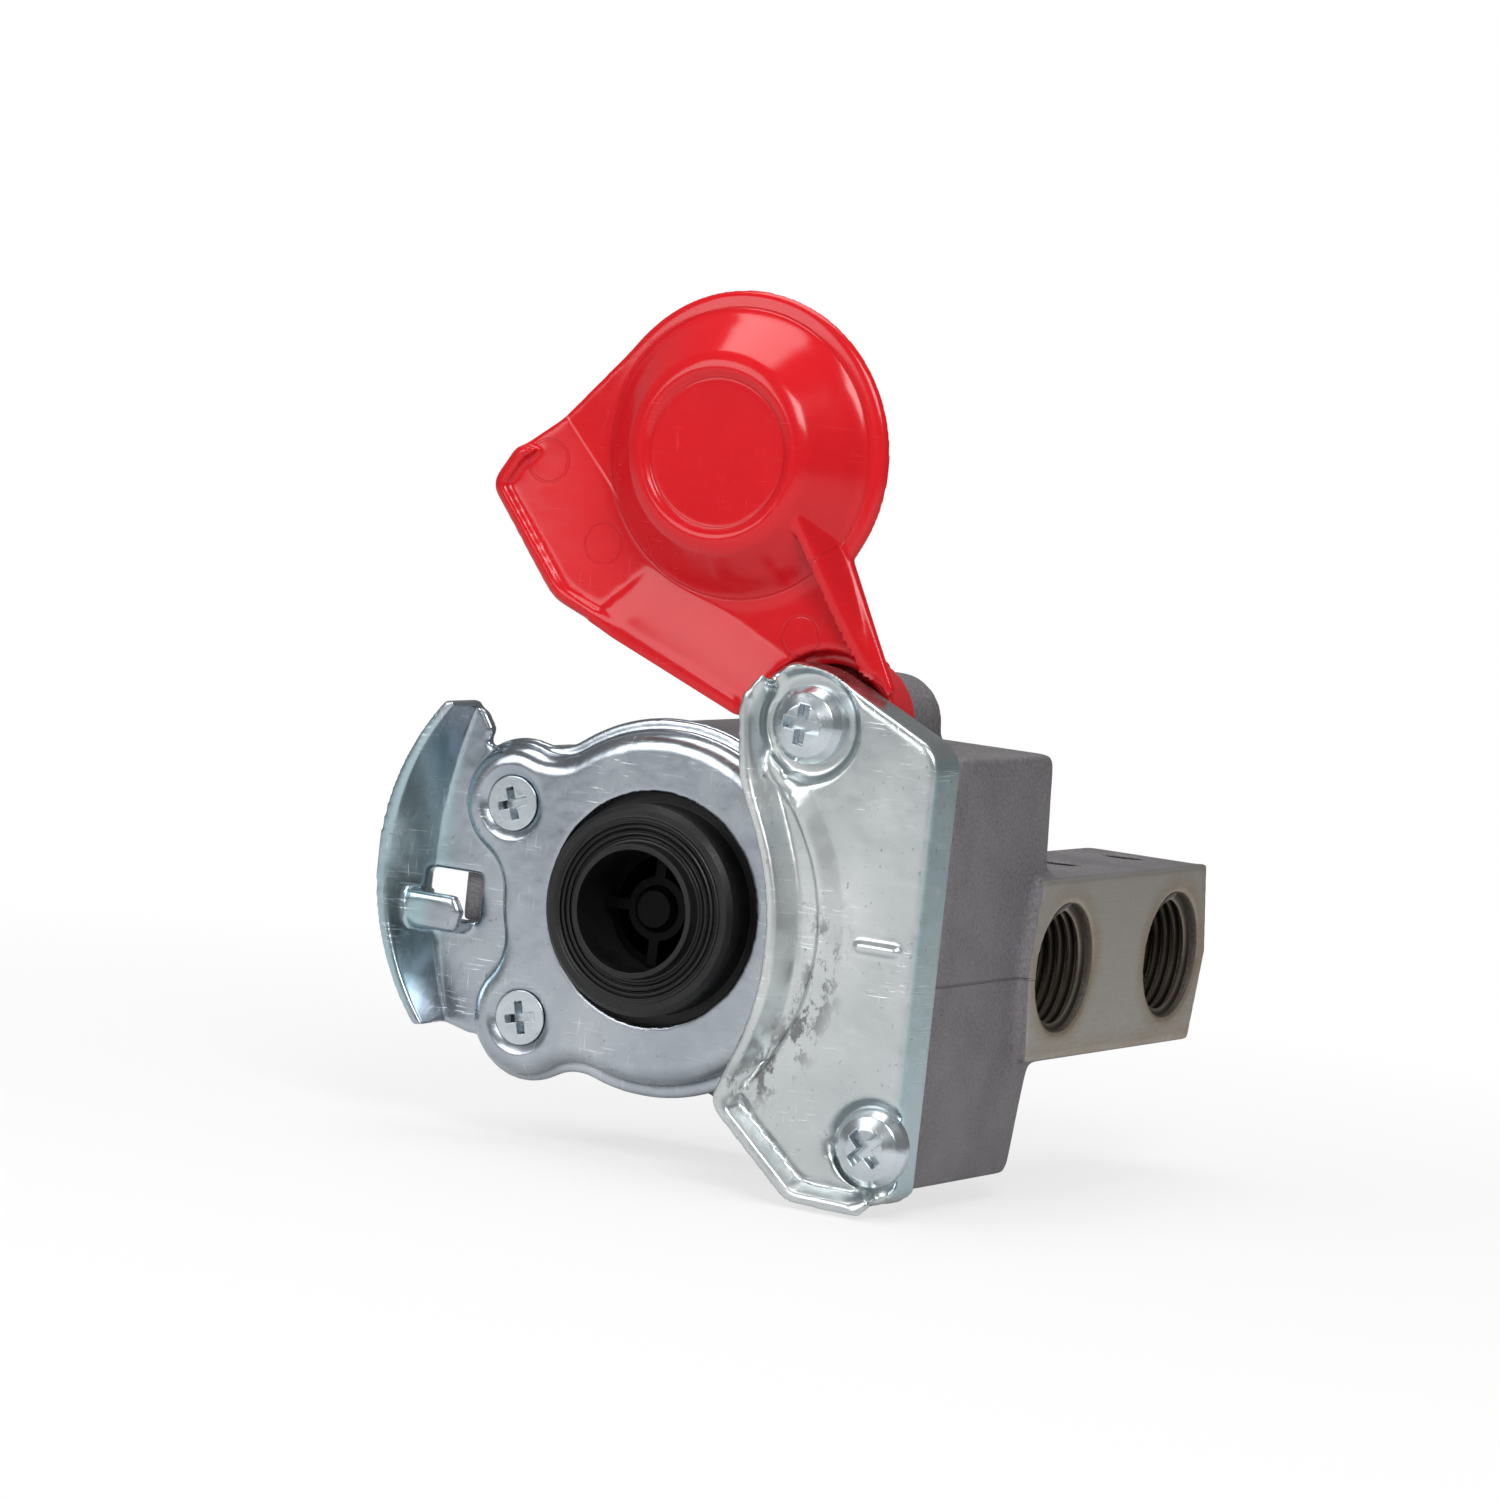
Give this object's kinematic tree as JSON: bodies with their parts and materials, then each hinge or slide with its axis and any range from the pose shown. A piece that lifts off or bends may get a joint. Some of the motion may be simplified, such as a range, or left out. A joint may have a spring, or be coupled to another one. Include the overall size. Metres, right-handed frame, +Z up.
{
  "type": "air brake gladhand coupler",
  "caption": "Palm-type trailer air brake coupler: cast body with hose ports, pressed claw plate and guide bracket, rubber face seal, spring valve and a swinging red dust cover.",
  "frame": {"origin": "on the axis of the face seal, in the plane of the front plate's flat face", "axes": "+Z up, +X towards the two hose ports, -Y the way the seal faces"},
  "size_m": [0.1077, 0.1173, 0.1481],
  "materials": {
    "cast_housing": "rough",
    "zinc_sheet": "satin",
    "zinc_screw": "semi-gloss",
    "turned_steel": "satin",
    "spring_steel": "satin",
    "seal_rubber": "satin",
    "black_plastic": "satin",
    "red_plastic": "gloss"
  },
  "bodies": {
    "base": {"housing": "cast_housing", "front_plate": "zinc_sheet", "guide_bracket": "zinc_sheet", "plate_screw_upper": "zinc_screw", "plate_screw_lower": "zinc_screw", "pivot_screw": "zinc_screw", "bracket_screw": "zinc_screw", "pivot_sleeve": "turned_steel", "pivot_washer": "turned_steel", "seal_ring": "seal_rubber", "valve_guide": "black_plastic", "guide_o_ring": "seal_rubber", "valve_spring": "spring_steel", "spring_plate": "turned_steel", "cover_spring": "spring_steel"},
    "cover": {"cover": "red_plastic"},
    "valve": {"valve_plunger": "black_plastic", "valve_disc": "seal_rubber", "disc_washer": "turned_steel"}
  },
  "joints": [
    {"name": "cover_swing", "type": "hinge", "parent": "base", "child": "cover", "pos_m": [0.0297, 0, 0.0353], "axis": [0, -1, 0], "range_deg": [0, 28]},
    {"name": "valve_slide", "type": "slide", "parent": "base", "child": "valve", "axis": [0, 1, 0], "range_m": [0, 0.004], "stiffness_N_per_m": 400, "springref_m": -0.02, "deforming": ["valve_spring"]}
  ]
}
